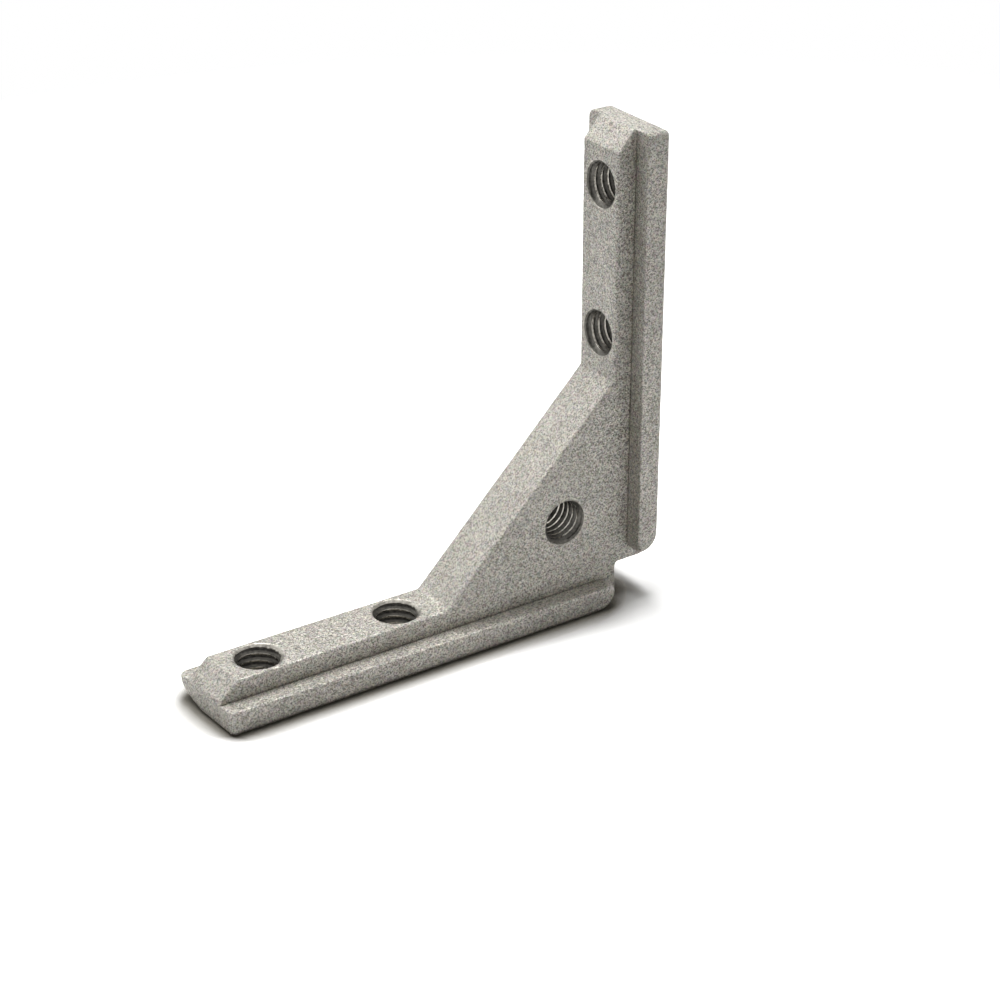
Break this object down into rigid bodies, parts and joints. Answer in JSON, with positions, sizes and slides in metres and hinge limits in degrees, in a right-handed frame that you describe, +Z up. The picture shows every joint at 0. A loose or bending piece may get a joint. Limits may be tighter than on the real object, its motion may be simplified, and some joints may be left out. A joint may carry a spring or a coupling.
{
  "type": "t slot corner bracket",
  "caption": "Right-angle inner bracket, die-cast in one piece: T-section legs that lie in the slots of framing profiles, a triangular gusset and tapped holes for set screws.",
  "frame": {"origin": "the outer corner: where the outer faces of the two legs would meet, on the middle plane of the casting", "axes": "+X along the lying leg, +Z up along the standing leg, +Y across the casting's thickness. The lying leg's outer face is down on z = 0 and the standing leg's outer face is on x = 0. The gusset hole's countersink is on the +Y side."},
  "size_m": [0.0519, 0.0102, 0.0517],
  "materials": {
    "cast_zinc": "die-cast zinc, blasted matt grey with a fine speckle; bright cut threads"
  },
  "bodies": {
    "root": {"corner_bracket": "cast_zinc"}
  },
  "joints": []
}
